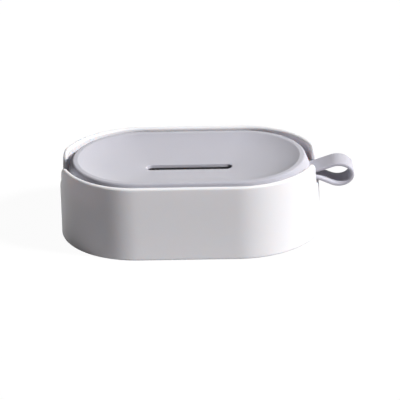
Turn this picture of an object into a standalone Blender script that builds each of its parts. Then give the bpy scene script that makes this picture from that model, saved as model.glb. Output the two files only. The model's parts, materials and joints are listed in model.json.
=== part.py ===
"""Wall-mounted soap box: a stadium-shaped case, a lift-out draining tray with a rubber pull strap,
and a stick-on hanger that hooks into the back of the case.

Metres, +Z up. The origin is the middle of the case's flat base, +X points at the strap and +Y at
the wall.
"""

from math import asin, cos, hypot, pi, radians, sin, sqrt, tan

import bmesh
import bpy
from mathutils import Matrix

MM = 0.001

# Case: a stadium in plan, with a notch in the rim at each end
CASE_LENGTH = 140.0 * MM
CASE_WIDTH = 86.0 * MM
CASE_HEIGHT = 42.0 * MM
CASE_WALL = 2.0 * MM
CASE_EDGE_ROUND = 0.85 * MM
NOTCH_WIDTH = 17.6 * MM
NOTCH_DEPTH = 13.5 * MM
NOTCH_SHOULDER_RADIUS = 5.5 * MM
NOTCH_CORNER_RADIUS = 3.0 * MM
NOTCH_SIDE_ANGLE = radians(8.0)
RIB_THICKNESS = 1.6 * MM
RIB_REACH = 3.4 * MM
RIB_STRAIGHT_SHARE = 0.85
RIB_END_ANGLE = radians(38.0)

# Tray: a dished deck on a skirt that flares down to the case's wall
SKIRT_HEIGHT = 13.0 * MM
SKIRT_ANGLE = radians(20.0)
SKIRT_FOOT = 1.5 * MM
SKIRT_CLEARANCE = 0.9 * MM
TRAY_THICKNESS = 1.8 * MM
TRAY_EDGE_ROUND = 0.5 * MM
CREST_RADIUS = 2.6 * MM
CREST_LAND = 1.9 * MM
CREST_SLOPE = radians(6.0)
DISH_DEPTH = 6.0 * MM
DISH_CURVE_SHARE = 2.2
SLOT_LENGTH = 44.0 * MM
SLOT_WIDTH = 5.4 * MM

# Strap: a band of rubber folded to a teardrop, with its two ends lying on each other in the tray
STRAP_WIDTH = 14.6 * MM
STRAP_THICKNESS = 1.8 * MM
STRAP_EDGE_ROUND = 0.4 * MM
LOOP_RADIUS = 6.1 * MM
LOOP_REACH = 18.9 * MM
LOOP_MERGE_OFFSET = 3.2 * MM
LOOP_APEX_RADIUS = 0.5 * MM
LOOP_DROOP = radians(1.9)
HINGE_INSET = 3.0 * MM
STRAP_DROP = 8.4 * MM
TAIL_LENGTH = 14.4 * MM
TAIL_CORNER_RADIUS = 3.0 * MM

# Pin: a snap pin pushed up through the strap's tail into a boss under the deck
PIN_RADIUS = 1.9 * MM
PIN_HEAD_RADIUS = 4.2 * MM
PIN_HEAD_THICKNESS = 1.3 * MM
PIN_INSERTION = 2.6 * MM
PIN_POINT_LENGTH = 0.8 * MM
PIN_HEAD_CHAMFER = 0.4 * MM
PIN_TAIL_INSET = 7.4 * MM
BOSS_RADIUS = 4.5 * MM

# Hanger: a plate with a hook on its front and an adhesive pad on its back
WINDOW_HEIGHT = 11.0 * MM
HOOK_WIDTH = 30.0 * MM
HOOK_NECK = 2.3 * MM
HOOK_TONGUE_THICKNESS = 2.0 * MM
HOOK_TONGUE_HEIGHT = 10.1 * MM
HOOK_TRAY_CLEARANCE = 1.5 * MM
HOOK_SIDE_CLEARANCE = 0.8 * MM
PLATE_LENGTH = 46.0 * MM
PLATE_HEIGHT = 27.0 * MM
PLATE_THICKNESS = 2.2 * MM
PLATE_CORNER_RADIUS = 4.0 * MM
PLATE_EDGE_ROUND = 0.5 * MM
PLATE_GROUND_CLEARANCE = 1.2 * MM
PAD_MARGIN = 2.0 * MM
PAD_THICKNESS = 1.0 * MM

# Shared fits
SEAT_GAP = 0.3 * MM
OVERRUN = 1.0 * MM
MERGE_DISTANCE = 0.01 * MM

# Facets
END_STEPS = 30
NOTCH_ARC_STEPS = 6
NOTCH_FLOOR_STEPS = 3
DISH_RINGS = 9
CREST_STEPS = 5
ROUND_STEPS = 32
TURN_STEPS = 40
BEVEL_STEPS = 2
BEVEL_FROM_ANGLE = radians(40.0)
FLAT_ANGLE = radians(1.0)

# Case, derived
CASE_RADIUS = CASE_WIDTH / 2
HALF_STRAIGHT = CASE_LENGTH / 2 - CASE_RADIUS
INNER_RADIUS = CASE_RADIUS - CASE_WALL
NOTCH_BOTTOM = CASE_HEIGHT - NOTCH_DEPTH
SKIRT_BOTTOM = CASE_HEIGHT - SKIRT_HEIGHT
RIB_TOP = SKIRT_BOTTOM - SEAT_GAP

# Strap, derived
HINGE_X = CASE_LENGTH / 2 - HINGE_INSET
STRAP_Z = CASE_HEIGHT - STRAP_DROP
LOOP_CENTRE = CASE_LENGTH / 2 + LOOP_REACH - LOOP_RADIUS - STRAP_THICKNESS / 2 - HINGE_X
LEG_ANGLE = asin(LOOP_RADIUS / (LOOP_CENTRE + LOOP_MERGE_OFFSET))
ROOT_RADIUS = LOOP_MERGE_OFFSET * sin(LEG_ANGLE) + STRAP_THICKNESS / 2
TAIL_END_X = HINGE_X - ROOT_RADIUS - SEAT_GAP
PIN_X = TAIL_END_X - PIN_TAIL_INSET
TAIL_TOP = STRAP_Z + STRAP_THICKNESS
TAIL_BOTTOM = STRAP_Z - STRAP_THICKNESS
PIN_HOLE_RADIUS = PIN_RADIUS + SEAT_GAP

# Hanger, derived
CASE_BACK = CASE_RADIUS
TONGUE_TOP = SKIRT_BOTTOM - HOOK_TRAY_CLEARANCE
NECK_BOTTOM = TONGUE_TOP - HOOK_TONGUE_HEIGHT
NECK_TOP = NECK_BOTTOM + HOOK_NECK
WINDOW_TOP = NECK_TOP + SEAT_GAP
WINDOW_BOTTOM = WINDOW_TOP - WINDOW_HEIGHT
HANGER_TRAVEL = NECK_BOTTOM - WINDOW_BOTTOM - SEAT_GAP
TONGUE_BACK = INNER_RADIUS - SEAT_GAP
PLATE_FRONT = CASE_BACK + SEAT_GAP
PLATE_BACK = PLATE_FRONT + PLATE_THICKNESS
PLATE_BOTTOM = HANGER_TRAVEL + PLATE_GROUND_CLEARANCE
PLATE_MIDDLE = PLATE_BOTTOM + PLATE_HEIGHT / 2
PAD_FRONT = PLATE_BACK + SEAT_GAP


def clear_scene():
    for obj in list(bpy.data.objects):
        bpy.data.objects.remove(obj, do_unlink=True)


def new_collection(name):
    collection = bpy.data.collections.new(name)
    bpy.context.scene.collection.children.link(collection)
    return collection


def plastic(name, colour, roughness, metallic=0.0):
    material = bpy.data.materials.new(name)
    material.use_nodes = True
    shader = material.node_tree.nodes["Principled BSDF"]
    shader.inputs["Base Color"].default_value = (*colour, 1.0)
    shader.inputs["Roughness"].default_value = roughness
    shader.inputs["Metallic"].default_value = metallic
    return material


def add_object(name, data, collection, material=None, parent=None):
    obj = bpy.data.objects.new(name, data)
    collection.objects.link(obj)
    if material:
        data.materials.append(material)
    if parent:
        obj.parent = parent
        obj.matrix_parent_inverse = Matrix.Translation(-parent.location)
    return obj


def add_empty(name, collection, location):
    empty = bpy.data.objects.new(name, None)
    empty.empty_display_size = CASE_WALL
    empty.location = location
    collection.objects.link(empty)
    return empty


def as_cutter(obj):
    obj.hide_render = True
    obj.display_type = "WIRE"
    return obj


def arc(centre, radius, start, end, steps):
    """Points on a circle's arc from the start angle to the end angle, both included."""
    turns = (start + (end - start) * i / steps for i in range(steps + 1))
    return [(centre[0] + radius * cos(a), centre[1] + radius * sin(a)) for a in turns]


def stadium(half_straight, radius, angles):
    """A stadium's outline, anticlockwise, from the angles of its right-hand end, -90 to 90 degrees."""
    right = [(half_straight + radius * cos(a), radius * sin(a)) for a in angles]
    return right + [(-x, -y) for x, y in right]


def rounded_rectangle(width, height, radius):
    x, y = width / 2 - radius, height / 2 - radius
    corners = ((x, y), (-x, y), (-x, -y), (x, -y))
    steps = ROUND_STEPS // 4
    outline = []
    for i, corner in enumerate(corners):
        outline += arc(corner, radius, i * pi / 2, (i + 1) * pi / 2, steps)
    return outline


def even_angles():
    return [-pi / 2 + pi * i / END_STEPS for i in range(END_STEPS + 1)]


def flat_solid(name, outlines, thickness):
    """The mesh of closed outlines in XY, holes included, made solid about the XY plane."""
    curve = bpy.data.curves.new(name, "CURVE")
    curve.dimensions = "2D"
    curve.fill_mode = "BOTH"
    curve.extrude = thickness / 2
    for outline in outlines:
        spline = curve.splines.new("POLY")
        spline.points.add(len(outline) - 1)
        for point, (x, y) in zip(spline.points, outline):
            point.co = (x, y, 0, 1)
        spline.use_cyclic_u = True
    helper = bpy.data.objects.new(name, curve)
    bpy.context.scene.collection.objects.link(helper)
    graph = bpy.context.evaluated_depsgraph_get()
    mesh = bpy.data.meshes.new_from_object(helper.evaluated_get(graph))
    bpy.data.objects.remove(helper)
    bpy.data.curves.remove(curve)
    bm = bmesh.new()
    bm.from_mesh(mesh)
    bmesh.ops.remove_doubles(bm, verts=bm.verts, dist=MERGE_DISTANCE)
    bmesh.ops.dissolve_limit(bm, angle_limit=FLAT_ANGLE, verts=bm.verts, edges=bm.edges)
    bmesh.ops.recalc_face_normals(bm, faces=bm.faces)
    bm.to_mesh(mesh)
    bm.free()
    mesh.name = name
    return mesh


def box_mesh(name, boxes):
    """One mesh of separate boxes, each given as (centre, size, turn about Z)."""
    bm = bmesh.new()
    for centre, size, turn in boxes:
        place = Matrix.Translation(centre) @ Matrix.Rotation(turn, 4, "Z")
        bmesh.ops.create_cube(bm, size=1, matrix=place @ Matrix.Diagonal((*size, 1)))
    mesh = bpy.data.meshes.new(name)
    bm.to_mesh(mesh)
    bm.free()
    return mesh


def cylinder_mesh(name, radius, bottom, top, x):
    bm = bmesh.new()
    place = Matrix.Translation((x, 0, (bottom + top) / 2))
    bmesh.ops.create_cone(
        bm, cap_ends=True, segments=ROUND_STEPS, radius1=radius, radius2=radius,
        depth=top - bottom, matrix=place,
    )
    mesh = bpy.data.meshes.new(name)
    bm.to_mesh(mesh)
    bm.free()
    return mesh


def loft(name, rings, cap_first=False):
    """An open surface through closed rings of equally many points, each ring anticlockwise."""
    bm = bmesh.new()
    rows = [[bm.verts.new(point) for point in ring] for ring in rings]
    for low, high in zip(rows, rows[1:]):
        for i in range(len(low)):
            j = (i + 1) % len(low)
            bm.faces.new((low[i], low[j], high[j], high[i]))
    if cap_first:
        bm.faces.new(rows[0][::-1])
    mesh = bpy.data.meshes.new(name)
    bm.to_mesh(mesh)
    bm.free()
    return mesh


def thicken(obj, thickness):
    solidify = obj.modifiers.new("wall", "SOLIDIFY")
    solidify.thickness = thickness
    solidify.offset = -1
    solidify.use_even_offset = True
    solidify.use_quality_normals = True


def round_edges(obj, width):
    bevel = obj.modifiers.new("rounding", "BEVEL")
    bevel.limit_method = "ANGLE"
    bevel.angle_limit = BEVEL_FROM_ANGLE
    bevel.width = width
    bevel.segments = BEVEL_STEPS


def combine(obj, other, operation):
    boolean = obj.modifiers.new(other.name, "BOOLEAN")
    boolean.operation = operation
    boolean.solver = "EXACT"
    boolean.object = other


def smooth(obj):
    obj.data.shade_smooth()
    obj.data.set_sharp_from_angle(angle=BEVEL_FROM_ANGLE)


def notch_stations():
    """(y, z) along one half of a rim notch, from its shoulder down to its middle.

    A convex shoulder arc and a concave corner arc are joined by a straight side that leans
    outwards towards the top.
    """
    lean = NOTCH_SIDE_ANGLE
    corner_y = NOTCH_WIDTH / 2 - NOTCH_CORNER_RADIUS * cos(lean)
    corner_z = NOTCH_BOTTOM + NOTCH_CORNER_RADIUS
    shoulder_z = CASE_HEIGHT - NOTCH_SHOULDER_RADIUS
    rise = shoulder_z + NOTCH_SHOULDER_RADIUS * sin(lean)
    rise -= corner_z - NOTCH_CORNER_RADIUS * sin(lean)
    shoulder_y = NOTCH_WIDTH / 2 + rise * tan(lean) + NOTCH_SHOULDER_RADIUS * cos(lean)
    stations = arc((shoulder_y, shoulder_z), NOTCH_SHOULDER_RADIUS, pi / 2, pi - lean, NOTCH_ARC_STEPS)
    stations += arc((corner_y, corner_z), NOTCH_CORNER_RADIUS, -lean, -pi / 2, NOTCH_ARC_STEPS)
    for i in range(1, NOTCH_FLOOR_STEPS + 1):
        stations.append((corner_y * (1 - i / NOTCH_FLOOR_STEPS), NOTCH_BOTTOM))
    return stations


def case_columns():
    """(angle, rim height) around the right-hand end of the case, from -90 to 90 degrees."""
    stations = notch_stations()
    shoulder_angle = asin(stations[0][0] / CASE_RADIUS)
    steps = round(END_STEPS / 2 * (1 - shoulder_angle / (pi / 2)))
    sweep = pi / 2 - shoulder_angle
    quarter = [(pi / 2 - sweep * i / steps, CASE_HEIGHT) for i in range(steps)]
    quarter += [(asin(y / CASE_RADIUS), z) for y, z in stations]
    return [(-angle, z) for angle, z in quarter[:-1]] + quarter[::-1]


def make_case(parts, cutters, material):
    columns = case_columns()
    outline = stadium(HALF_STRAIGHT, CASE_RADIUS, [angle for angle, _ in columns])
    heights = [z for _, z in columns] * 2
    base = [(x, y, 0) for x, y in outline]
    rim = [(x, y, z) for (x, y), z in zip(outline, heights)]
    case = add_object("outer_case", loft("outer_case", [base, rim], cap_first=True), parts, material)
    thicken(case, CASE_WALL)
    round_edges(case, CASE_EDGE_ROUND)
    ribs = as_cutter(add_object("case_ribs", box_mesh("case_ribs", rib_boxes()), cutters))
    combine(case, ribs, "UNION")
    window_size = (HOOK_WIDTH + 2 * HOOK_SIDE_CLEARANCE, CASE_WALL + 2 * OVERRUN, WINDOW_HEIGHT)
    window_centre = (0, CASE_BACK - CASE_WALL / 2, (WINDOW_BOTTOM + WINDOW_TOP) / 2)
    window_mesh = box_mesh("hanger_window", [(window_centre, window_size, 0)])
    combine(case, as_cutter(add_object("hanger_window", window_mesh, cutters)), "DIFFERENCE")
    smooth(case)


def rib_boxes():
    """The ribs that carry the tray: four on the straight walls and four on the round ends."""
    low = CASE_WALL / 2
    height = RIB_TOP - low
    depth = RIB_REACH + CASE_WALL / 2
    middle = INNER_RADIUS + CASE_WALL / 2 - depth / 2
    boxes = []
    for side in (-1, 1):
        for end in (-1, 1):
            straight = (end * HALF_STRAIGHT * RIB_STRAIGHT_SHARE, side * middle, low + height / 2)
            boxes.append((straight, (RIB_THICKNESS, depth, height), 0))
            turn = RIB_END_ANGLE * side * end
            bend = (
                end * (HALF_STRAIGHT + middle * cos(RIB_END_ANGLE)),
                side * middle * sin(RIB_END_ANGLE),
                low + height / 2,
            )
            boxes.append((bend, (depth, RIB_THICKNESS, height), turn))
    return boxes


def tray_profile():
    """(radius, z) from the skirt's lower edge over the crest to the dish's edge."""
    skirt_radius = INNER_RADIUS - SKIRT_CLEARANCE
    land_drop = CREST_LAND * tan(CREST_SLOPE)
    centre_z = CASE_HEIGHT - land_drop - CREST_RADIUS * cos(CREST_SLOPE)
    skirt_top = centre_z + CREST_RADIUS * sin(SKIRT_ANGLE)
    foot_top = SKIRT_BOTTOM + SKIRT_FOOT
    top_radius = skirt_radius - (skirt_top - foot_top) * tan(SKIRT_ANGLE)
    centre_radius = top_radius - CREST_RADIUS * cos(SKIRT_ANGLE)
    crest = arc(
        (centre_radius, centre_z), CREST_RADIUS, SKIRT_ANGLE, pi / 2 - CREST_SLOPE, CREST_STEPS
    )
    dish_edge = (crest[-1][0] - CREST_LAND, CASE_HEIGHT)
    return [(skirt_radius, SKIRT_BOTTOM), (skirt_radius, foot_top)] + crest + [dish_edge]


def dish_height(inward):
    """The deck's height where inward is 0 at the dish's edge and 1 at the drain slot."""
    return CASE_HEIGHT - DISH_DEPTH * (1 - (1 - inward) ** DISH_CURVE_SHARE)


def cut_strap_window(tray, cutters, profile):
    """The window in the skirt's right-hand end, which clears the strap as it bends."""
    width = STRAP_WIDTH + 2 * SEAT_GAP
    inner_radius = profile[2][0] - TRAY_THICKNESS / cos(SKIRT_ANGLE)
    inner_x = HALF_STRAIGHT + sqrt(inner_radius**2 - (width / 2) ** 2)
    outer_x = HINGE_X + OVERRUN
    size = (outer_x - inner_x, width, 2 * (ROOT_RADIUS + SEAT_GAP))
    centre = ((outer_x + inner_x) / 2, 0, STRAP_Z)
    window_mesh = box_mesh("strap_window", [(centre, size, 0)])
    combine(tray, as_cutter(add_object("strap_window", window_mesh, cutters)), "DIFFERENCE")


def add_pin_boss(tray, cutters, edge_radius):
    """A boss that hangs from the deck to the strap's tail, its top following the dish."""
    boss_bottom = TAIL_TOP + SEAT_GAP
    hole_top = boss_bottom + PIN_INSERTION + SEAT_GAP
    boss_mesh = cylinder_mesh("strap_boss", BOSS_RADIUS, boss_bottom, CASE_HEIGHT, PIN_X)
    end_rim = HALF_STRAIGHT + edge_radius
    end_run = end_rim - SLOT_LENGTH / 2
    for vertex in boss_mesh.vertices:
        if vertex.co.z > hole_top:
            reach = HALF_STRAIGHT + hypot(vertex.co.x - HALF_STRAIGHT, vertex.co.y)
            inward = max((end_rim - reach) / end_run, 0)
            vertex.co.z = dish_height(inward) - TRAY_THICKNESS / 2
    combine(tray, as_cutter(add_object("strap_boss", boss_mesh, cutters)), "UNION")
    hole_mesh = cylinder_mesh("pin_hole", PIN_HOLE_RADIUS, boss_bottom - OVERRUN, hole_top, PIN_X)
    combine(tray, as_cutter(add_object("pin_hole", hole_mesh, cutters)), "DIFFERENCE")


def make_tray(parts, cutters, material, parent):
    profile = tray_profile()
    angles = even_angles()
    rings = []
    for radius, z in profile:
        rings.append([(x, y, z) for x, y in stadium(HALF_STRAIGHT, radius, angles)])
    slot_radius = SLOT_WIDTH / 2
    slot_straight = SLOT_LENGTH / 2 - slot_radius
    edge_radius = profile[-1][0]
    for ring in range(1, DISH_RINGS + 1):
        inward = ring / DISH_RINGS
        straight = HALF_STRAIGHT + (slot_straight - HALF_STRAIGHT) * inward
        radius = edge_radius + (slot_radius - edge_radius) * inward
        z = dish_height(inward)
        rings.append([(x, y, z) for x, y in stadium(straight, radius, angles)])
    tray = add_object("soap_tray", loft("soap_tray", rings), parts, material, parent)
    thicken(tray, TRAY_THICKNESS)
    round_edges(tray, TRAY_EDGE_ROUND)
    cut_strap_window(tray, cutters, profile)
    add_pin_boss(tray, cutters, edge_radius)
    smooth(tray)


def teardrop(root_radius, loop_radius, root_x):
    """A teardrop's outline: arcs about the root and the loop's middle, joined by their tangents."""
    lean = LEG_ANGLE
    root = arc((root_x, 0), root_radius, pi / 2 + lean, 3 * pi / 2 - lean, ROUND_STEPS // 4)
    loop = arc((LOOP_CENTRE, 0), loop_radius, -pi / 2 - lean, pi / 2 + lean, ROUND_STEPS)
    return root + loop


def make_strap_loop(parts, material, parent):
    """The loop stands in the XZ plane; its hinge axis passes through the round root end."""
    half = STRAP_THICKNESS / 2
    outer = teardrop(ROOT_RADIUS, LOOP_RADIUS + half, 0)
    apex_x = (half + LOOP_APEX_RADIUS) / sin(LEG_ANGLE) - LOOP_MERGE_OFFSET
    inner = teardrop(LOOP_APEX_RADIUS, LOOP_RADIUS - half, apex_x)
    mesh = flat_solid("strap_loop", [outer, inner], STRAP_WIDTH)
    mesh.transform(Matrix.Rotation(pi / 2, 4, "X"))
    mesh.transform(Matrix.Rotation(LOOP_DROOP, 4, "Y"))
    loop = add_object("strap_loop", mesh, parts, material, parent)
    loop.location = (HINGE_X, 0, STRAP_Z)
    round_edges(loop, STRAP_EDGE_ROUND)
    smooth(loop)


def make_strap_tail(parts, material, parent):
    outline = rounded_rectangle(TAIL_LENGTH, STRAP_WIDTH, TAIL_CORNER_RADIUS)
    tail_middle = TAIL_END_X - TAIL_LENGTH / 2
    hole = arc((PIN_X - tail_middle, 0), PIN_HOLE_RADIUS, 0, 2 * pi, ROUND_STEPS)[:-1]
    mesh = flat_solid("strap_tail", [outline, hole], 2 * STRAP_THICKNESS)
    tail = add_object("strap_tail", mesh, parts, material, parent)
    tail.location = (tail_middle, 0, STRAP_Z)
    round_edges(tail, STRAP_EDGE_ROUND)
    smooth(tail)


def make_pin(parts, material, parent):
    """A turned pin: a flat head under the tail, a shank through it and a tapered point."""
    head_top = TAIL_BOTTOM - SEAT_GAP
    tip = TAIL_TOP + SEAT_GAP + PIN_INSERTION
    edge = PIN_HEAD_CHAMFER
    profile = [
        (0, tip),
        (PIN_RADIUS - PIN_POINT_LENGTH / 2, tip),
        (PIN_RADIUS, tip - PIN_POINT_LENGTH),
        (PIN_RADIUS, head_top),
        (PIN_HEAD_RADIUS - edge, head_top),
        (PIN_HEAD_RADIUS, head_top - edge),
        (PIN_HEAD_RADIUS, head_top - PIN_HEAD_THICKNESS + edge),
        (PIN_HEAD_RADIUS - edge, head_top - PIN_HEAD_THICKNESS),
        (0, head_top - PIN_HEAD_THICKNESS),
    ]
    bm = bmesh.new()
    verts = [bm.verts.new((r, 0, z)) for r, z in profile]
    for upper, lower in zip(verts, verts[1:]):
        bm.edges.new((upper, lower))
    mesh = bpy.data.meshes.new("strap_pin")
    bm.to_mesh(mesh)
    bm.free()
    pin = add_object("strap_pin", mesh, parts, material, parent)
    pin.location = (PIN_X, 0, 0)
    screw = pin.modifiers.new("turn", "SCREW")
    screw.steps = TURN_STEPS
    screw.render_steps = TURN_STEPS
    screw.use_merge_vertices = True
    screw.merge_threshold = MERGE_DISTANCE


def make_wall_hook(parts, cutters, material, parent):
    plate_mesh = flat_solid(
        "wall_hook", [rounded_rectangle(PLATE_LENGTH, PLATE_HEIGHT, PLATE_CORNER_RADIUS)], PLATE_THICKNESS
    )
    plate_mesh.transform(Matrix.Rotation(pi / 2, 4, "X"))
    plate_mesh.transform(Matrix.Translation((0, (PLATE_FRONT + PLATE_BACK) / 2, PLATE_MIDDLE)))
    hook = add_object("wall_hook", plate_mesh, parts, material, parent)
    combine(hook, as_cutter(add_object("hook_tongue", hook_mesh(), cutters)), "UNION")
    round_edges(hook, PLATE_EDGE_ROUND)
    smooth(hook)


def hook_mesh():
    """The neck and the upright tongue, an L drawn in YZ and carried along X."""
    front = TONGUE_BACK - HOOK_TONGUE_THICKNESS
    embedded = PLATE_FRONT + PLATE_THICKNESS / 2
    outline = [
        (front, NECK_BOTTOM),
        (embedded, NECK_BOTTOM),
        (embedded, NECK_TOP),
        (TONGUE_BACK, NECK_TOP),
        (TONGUE_BACK, TONGUE_TOP),
        (front, TONGUE_TOP),
    ]
    mesh = flat_solid("hook_tongue", [outline], HOOK_WIDTH)
    mesh.transform(Matrix(((0, 0, 1, 0), (1, 0, 0, 0), (0, 1, 0, 0), (0, 0, 0, 1))))
    return mesh


def make_pad(parts, material, parent):
    radius = PLATE_CORNER_RADIUS - PAD_MARGIN / 2
    outline = rounded_rectangle(PLATE_LENGTH - 2 * PAD_MARGIN, PLATE_HEIGHT - 2 * PAD_MARGIN, radius)
    mesh = flat_solid("adhesive_pad", [outline], PAD_THICKNESS)
    mesh.transform(Matrix.Rotation(pi / 2, 4, "X"))
    pad = add_object("adhesive_pad", mesh, parts, material, parent)
    pad.location = (0, PAD_FRONT + PAD_THICKNESS / 2, PLATE_MIDDLE)


def main():
    clear_scene()
    parts = new_collection("wall_soap_box")
    cutters = new_collection("cutters")
    cutters.hide_render = True
    white_abs = plastic("white_abs", (0.86, 0.86, 0.87), 0.32)
    grey_pp = plastic("grey_polypropylene", (0.56, 0.55, 0.60), 0.5)
    grey_rubber = plastic("grey_rubber", (0.55, 0.54, 0.60), 0.62)
    clear_nylon = plastic("natural_nylon", (0.80, 0.80, 0.76), 0.4)
    foam = plastic("adhesive_foam", (0.72, 0.74, 0.74), 0.75)
    tray_lift = add_empty("tray_lift", parts, (0, 0, SKIRT_BOTTOM))
    strap_hinge = add_empty("strap_hinge", parts, (HINGE_X, 0, STRAP_Z))
    hanger_slide = add_empty("hanger_slide", parts, (0, CASE_BACK, WINDOW_TOP))
    make_case(parts, cutters, white_abs)
    make_tray(parts, cutters, grey_pp, tray_lift)
    make_strap_tail(parts, grey_rubber, tray_lift)
    make_pin(parts, clear_nylon, tray_lift)
    make_strap_loop(parts, grey_rubber, strap_hinge)
    make_wall_hook(parts, cutters, white_abs, hanger_slide)
    make_pad(parts, foam, hanger_slide)


main()
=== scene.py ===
"""Wall-mounted soap box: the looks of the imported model.

Metres, in the model's own frame: +Z up, the origin in the middle of the case's flat base, +X
towards the pull strap and +Y towards the wall. Every new piece is a surface worked out with numpy
as a grid of points, and its object stays at the origin.
"""

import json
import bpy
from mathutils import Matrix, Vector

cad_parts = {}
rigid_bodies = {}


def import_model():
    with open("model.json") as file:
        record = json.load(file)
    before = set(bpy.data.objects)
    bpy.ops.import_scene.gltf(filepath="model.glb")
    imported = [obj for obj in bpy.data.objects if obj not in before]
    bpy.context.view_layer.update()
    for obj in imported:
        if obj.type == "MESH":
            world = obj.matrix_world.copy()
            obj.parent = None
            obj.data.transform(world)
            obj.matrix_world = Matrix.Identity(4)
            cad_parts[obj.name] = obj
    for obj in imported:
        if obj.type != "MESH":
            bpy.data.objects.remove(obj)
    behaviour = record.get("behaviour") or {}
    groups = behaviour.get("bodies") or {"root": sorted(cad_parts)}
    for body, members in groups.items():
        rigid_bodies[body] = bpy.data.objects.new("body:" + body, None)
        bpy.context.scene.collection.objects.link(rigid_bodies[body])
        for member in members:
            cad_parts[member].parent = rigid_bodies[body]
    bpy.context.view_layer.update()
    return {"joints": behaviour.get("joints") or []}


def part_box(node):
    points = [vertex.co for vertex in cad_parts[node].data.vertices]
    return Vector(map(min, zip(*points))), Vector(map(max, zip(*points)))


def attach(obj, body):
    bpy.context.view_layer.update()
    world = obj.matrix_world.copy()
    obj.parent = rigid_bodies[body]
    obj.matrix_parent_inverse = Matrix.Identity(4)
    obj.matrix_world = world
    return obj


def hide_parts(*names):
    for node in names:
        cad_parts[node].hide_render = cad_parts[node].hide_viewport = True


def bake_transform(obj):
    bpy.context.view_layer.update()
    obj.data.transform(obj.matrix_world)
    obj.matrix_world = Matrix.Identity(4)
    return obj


bl_info = {
    "name": "Wall-Mounted Soap Box",
    "version": (1, 0, 0),
    "blender": (4, 5, 0),
    "location": "View3D > Sidebar > Soap Box",
    "description": "Builds the soap box's finished surfaces, its materials and a small studio",
    "category": "Add Mesh",
}

from math import asin, cos, pi, radians, sin, tan

import bmesh
import bpy
import numpy as np
from bpy.props import FloatProperty, FloatVectorProperty, PointerProperty
from bpy.types import Operator, Panel, PropertyGroup
from mathutils import Matrix, Vector

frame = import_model()

MM = 0.001
PHOTO_WIDTH = 400
SENSOR_WIDTH_MM = 36.0
MERGE_DISTANCE = MM / 1000
SHARP_ANGLE = radians(50)
FAN_COLUMNS = 8
GLOW_SPREAD = (1.0, 0.9, 0.84)

CASE_LOW, CASE_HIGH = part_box("outer_case")
TRAY_LOW, TRAY_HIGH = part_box("soap_tray")
TAIL_LOW, TAIL_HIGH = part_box("strap_tail")
LOOP_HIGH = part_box("strap_loop")[1]
PIN_LOW, PIN_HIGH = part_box("strap_pin")
HOOK_LOW, HOOK_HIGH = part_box("wall_hook")
PAD_LOW, PAD_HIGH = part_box("adhesive_pad")
PIN_CENTRE = ((PIN_LOW.x + PIN_HIGH.x) / 2, (PIN_LOW.y + PIN_HIGH.y) / 2)
HINGE = Vector(next(joint["pos_m"] for joint in frame["joints"] if joint["name"] == "strap_flex"))


def number(name, default, description, **settings):
    """A plain number that a user can change, from 0 up unless the settings say otherwise."""
    settings = {"min": 0.0, **settings}
    return FloatProperty(name=name, default=default, description=description, **settings)


def metres(name, default, description):
    """A length that a user can change."""
    return number(name, default, description, unit="LENGTH", precision=5)


def mm(name, default, description):
    """A length that a user can change, given in millimetres."""
    return metres(name, default * MM, description)


def angle(name, default, description):
    """An angle that a user can change, given in degrees."""
    return number(name, radians(default), description, min=-pi, subtype="ANGLE")


def paint(name, default, description):
    """A linear colour that a user can change."""
    return FloatVectorProperty(
        name=name, default=default, description=description, subtype="COLOR", min=0.0, max=1.0
    )


class SoapBoxCase(PropertyGroup):
    """Sizes of the white case."""

    length: metres("Length", CASE_HIGH.x - CASE_LOW.x, "Overall length")
    width: metres("Width", CASE_HIGH.y - CASE_LOW.y, "Overall width")
    height: metres("Height", CASE_HIGH.z - CASE_LOW.z, "Overall height")
    wall: mm("Wall", 2.0, "Thickness of the wall and the floor")
    rim_round: mm("Rim round", 1.2, "Radius of the rim's outer edge")
    rim_inner: mm("Inner rim round", 1.25, "Radius of the rim's inner edge")
    rim_bead: mm("Rim bead", 0.5, "How much thicker the wall is at the rim")
    bead_height: mm("Bead height", 4.0, "Height over which the bead fades out")
    base_round: mm("Base round", 0.85, "Radius of the base's outer edge")
    floor_round: mm("Floor round", 1.6, "Radius between wall and inner floor")
    notch_width: mm("Notch width", 17.6, "Width of a rim notch near its floor")
    notch_depth: mm("Notch depth", 13.5, "Depth of a rim notch")
    notch_lean: angle("Notch lean", 8.0, "How far the notch's sides lean outwards")
    shoulder: mm("Shoulder", 5.5, "Radius where the notch meets the rim")
    corner: mm("Corner", 3.0, "Radius in the notch's lower corners")
    rib_thickness: mm("Rib thickness", 1.6, "Thickness of a rib")
    rib_reach: mm("Rib reach", 3.4, "How far a rib stands in")
    rib_gap: mm("Rib gap", 0.3, "Between the ribs and the tray")
    rib_share: number("Rib place", 0.85, "Place of the ribs along the straight walls")
    rib_angle: angle("Rib angle", 38.0, "Place of the ribs on the round ends")
    window_length: mm("Window length", 31.6, "Length of the hanger's window")
    window_bottom: mm("Window bottom", 9.0, "Height of the window's lower edge")
    window_height: mm("Window height", 11.0, "Height of the hanger's window")
    tint: paint("Colour", (0.885, 0.875, 0.9), "White plastic")


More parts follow.
